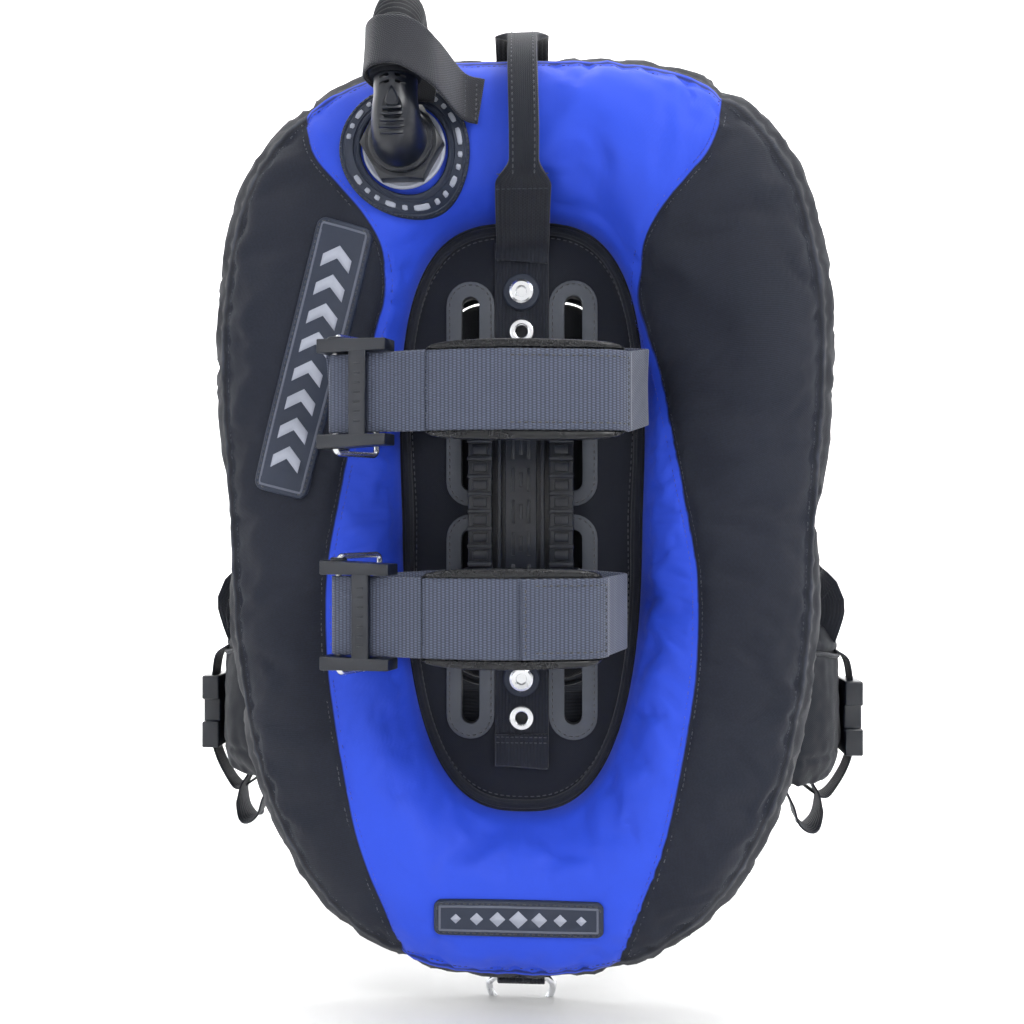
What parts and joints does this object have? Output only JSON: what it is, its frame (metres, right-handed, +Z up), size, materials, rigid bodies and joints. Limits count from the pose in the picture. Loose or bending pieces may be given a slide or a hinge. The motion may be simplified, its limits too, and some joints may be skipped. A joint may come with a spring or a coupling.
{
  "type": "buoyancy compensator vest",
  "caption": "Back-inflation diving vest: oval air cell with tank bands and inflator hose, on a padded harness with hip pockets",
  "frame": {"origin": "centre of the flat middle face of the tank support, midway between the two bolts", "axes": "-Y towards the tank, +Y towards the diver, +Z up along the tank, +X to the diver's right"},
  "size_m": [0.5236, 0.4194, 0.7152],
  "materials": {
    "cell_cover": "woven nylon, matt",
    "bladder": "smooth film",
    "patch_rubber": "moulded, satin",
    "panel_cloth": "woven nylon, matt",
    "trim_rubber": "moulded, satin",
    "webbing": "ribbed webbing",
    "band_webbing": "coarse webbing",
    "steel": "polished",
    "moulded_plastic": "fine texture",
    "pad_rubber": "satin",
    "flange_plastic": "satin",
    "hose_rubber": "satin",
    "padding": "mesh cloth over foam",
    "pocket_cloth": "woven nylon, matt"
  },
  "bodies": {
    "vest": {"wing_shell": "cell_cover", "air_bladder": "bladder", "side_patch": "patch_rubber", "lower_patch": "patch_rubber", "port_patch": "patch_rubber", "centre_panel": "panel_cloth", "slot_trim_upper_left": "trim_rubber", "slot_trim_upper_right": "trim_rubber", "slot_trim_lower_left": "trim_rubber", "slot_trim_lower_right": "trim_rubber", "centre_webbing": "webbing", "grommet_upper": "steel", "bolt_upper": "steel", "grommet_lower": "steel", "bolt_lower": "steel", "tank_support": "moulded_plastic", "tank_band_upper": "band_webbing", "band_pad_upper": "pad_rubber", "buckle_link_upper": "steel", "tank_band_lower": "band_webbing", "band_pad_lower": "pad_rubber", "buckle_link_lower": "steel", "carry_handle": "webbing", "port_flange": "flange_plastic", "hex_nut": "moulded_plastic", "inflator_elbow": "moulded_plastic", "corrugated_hose": "hose_rubber", "hose_strap": "webbing", "inflator_body": "moulded_plastic", "mouthpiece": "hose_rubber", "dump_valve_body": "moulded_plastic", "dump_valve_cap": "moulded_plastic", "bottom_ring_tab": "webbing", "backplate": "moulded_plastic", "back_pad": "padding", "shoulder_pad_left": "padding", "shoulder_socket_left": "moulded_plastic", "lower_webbing_left": "webbing", "shoulder_pad_right": "padding", "shoulder_socket_right": "moulded_plastic", "lower_webbing_right": "webbing", "chest_strap_left": "webbing", "chest_strap_right": "webbing", "chest_socket": "moulded_plastic", "waist_belt": "webbing", "waist_socket": "moulded_plastic", "hip_pocket_left": "pocket_cloth", "pocket_buckle_left": "moulded_plastic", "hip_pocket_right": "pocket_cloth", "pocket_buckle_right": "moulded_plastic"},
    "upper_lever": {"buckle_lever_upper": "moulded_plastic"},
    "lower_lever": {"buckle_lever_lower": "moulded_plastic"},
    "bottom_ring": {"bottom_ring": "steel"},
    "hip_ring": {"hip_ring": "steel"},
    "inflate_button": {"inflate_button": "flange_plastic"},
    "deflate_button": {"deflate_button": "flange_plastic"},
    "chest_plug": {"chest_plug": "moulded_plastic"},
    "waist_plug": {"waist_plug": "moulded_plastic"},
    "shoulder_plug_left": {"shoulder_plug_left": "moulded_plastic"},
    "shoulder_plug_right": {"shoulder_plug_right": "moulded_plastic"}
  },
  "joints": [
    {"name": "upper_lever_hinge", "type": "hinge", "parent": "vest", "child": "upper_lever", "pos_m": [-0.114, -0.091, 0.0558], "axis": [0, 0, -1], "range_deg": [0, 100]},
    {"name": "lower_lever_hinge", "type": "hinge", "parent": "vest", "child": "lower_lever", "pos_m": [-0.112, -0.091, -0.085], "axis": [0, 0, -1], "range_deg": [0, 100]},
    {"name": "bottom_ring_swing", "type": "hinge", "parent": "vest", "child": "bottom_ring", "pos_m": [0, 0.003, -0.353], "axis": [1, 0, 0], "range_deg": [-75, 75]},
    {"name": "hip_ring_swing", "type": "hinge", "parent": "vest", "child": "hip_ring", "pos_m": [-0.20429, 0.09875, -0.05986], "axis": [-0.5063, -0.3978, 0.7651], "range_deg": [0, 120]},
    {"name": "inflate_press", "type": "slide", "parent": "vest", "child": "inflate_button", "axis": [1, 0, 0], "range_m": [0, 0.004], "stiffness_N_per_m": 300},
    {"name": "deflate_press", "type": "slide", "parent": "vest", "child": "deflate_button", "axis": [0, 0, 1], "range_m": [0, 0.004], "stiffness_N_per_m": 300},
    {"name": "chest_release", "type": "slide", "parent": "vest", "child": "chest_plug", "axis": [1, 0, 0], "range_m": [0, 0.03]},
    {"name": "waist_release", "type": "slide", "parent": "vest", "child": "waist_plug", "axis": [1, 0, 0], "range_m": [0, 0.03]},
    {"name": "shoulder_release_left", "type": "slide", "parent": "vest", "child": "shoulder_plug_left", "axis": [-0.5282, -0.5582, -0.6398], "range_m": [0, 0.03]},
    {"name": "shoulder_release_right", "type": "slide", "parent": "vest", "child": "shoulder_plug_right", "axis": [0.5282, -0.5582, -0.6398], "range_m": [0, 0.03]}
  ]
}
